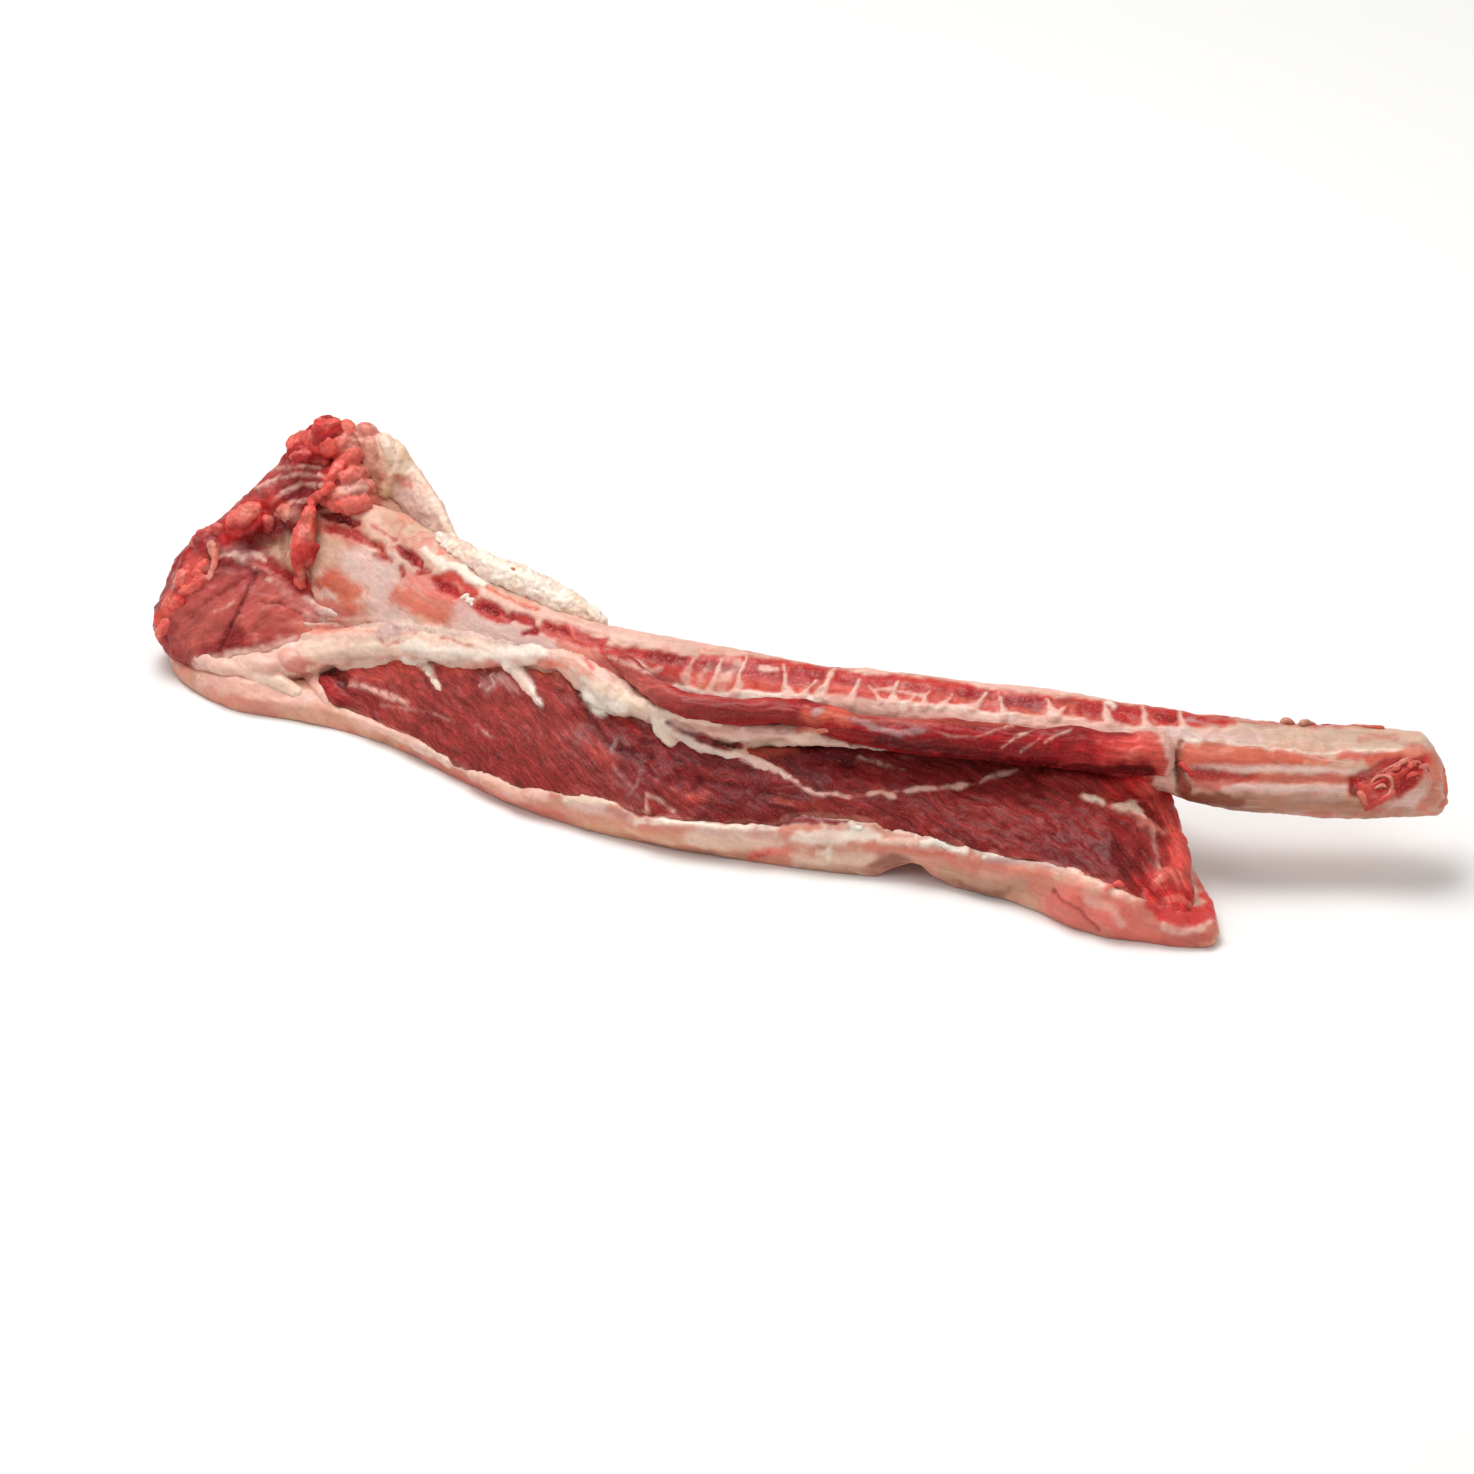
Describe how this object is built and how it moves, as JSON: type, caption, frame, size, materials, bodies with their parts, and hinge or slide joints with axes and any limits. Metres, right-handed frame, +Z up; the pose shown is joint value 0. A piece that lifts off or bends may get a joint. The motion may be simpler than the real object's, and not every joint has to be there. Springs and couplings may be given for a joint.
{
  "type": "raw beef spare rib",
  "caption": "Raw beef rib: a long bare-ended rib bone with lean meat, cover fat and gristle left on its thick end.",
  "frame": {"origin": "middle of the underside of the whole rib's bounding box", "axes": "+X along the rib towards the bare end of the bone, +Y away from the cut face, +Z up"},
  "size_m": [0.426, 0.2348, 0.0839],
  "materials": {
    "bone": null,
    "dark_lean": null,
    "lean": null,
    "pale_lean": null,
    "pink_fat": null,
    "white_fat": null,
    "gristle": null
  },
  "bodies": {
    "root": {"rib_bone": "bone", "rib_strip": "dark_lean", "front_muscle": "lean", "loin_muscle": "pale_lean", "cover_fat": "pink_fat", "fat_seam": "white_fat", "back_fat": "white_fat", "chine_gristle": "gristle"}
  },
  "joints": []
}
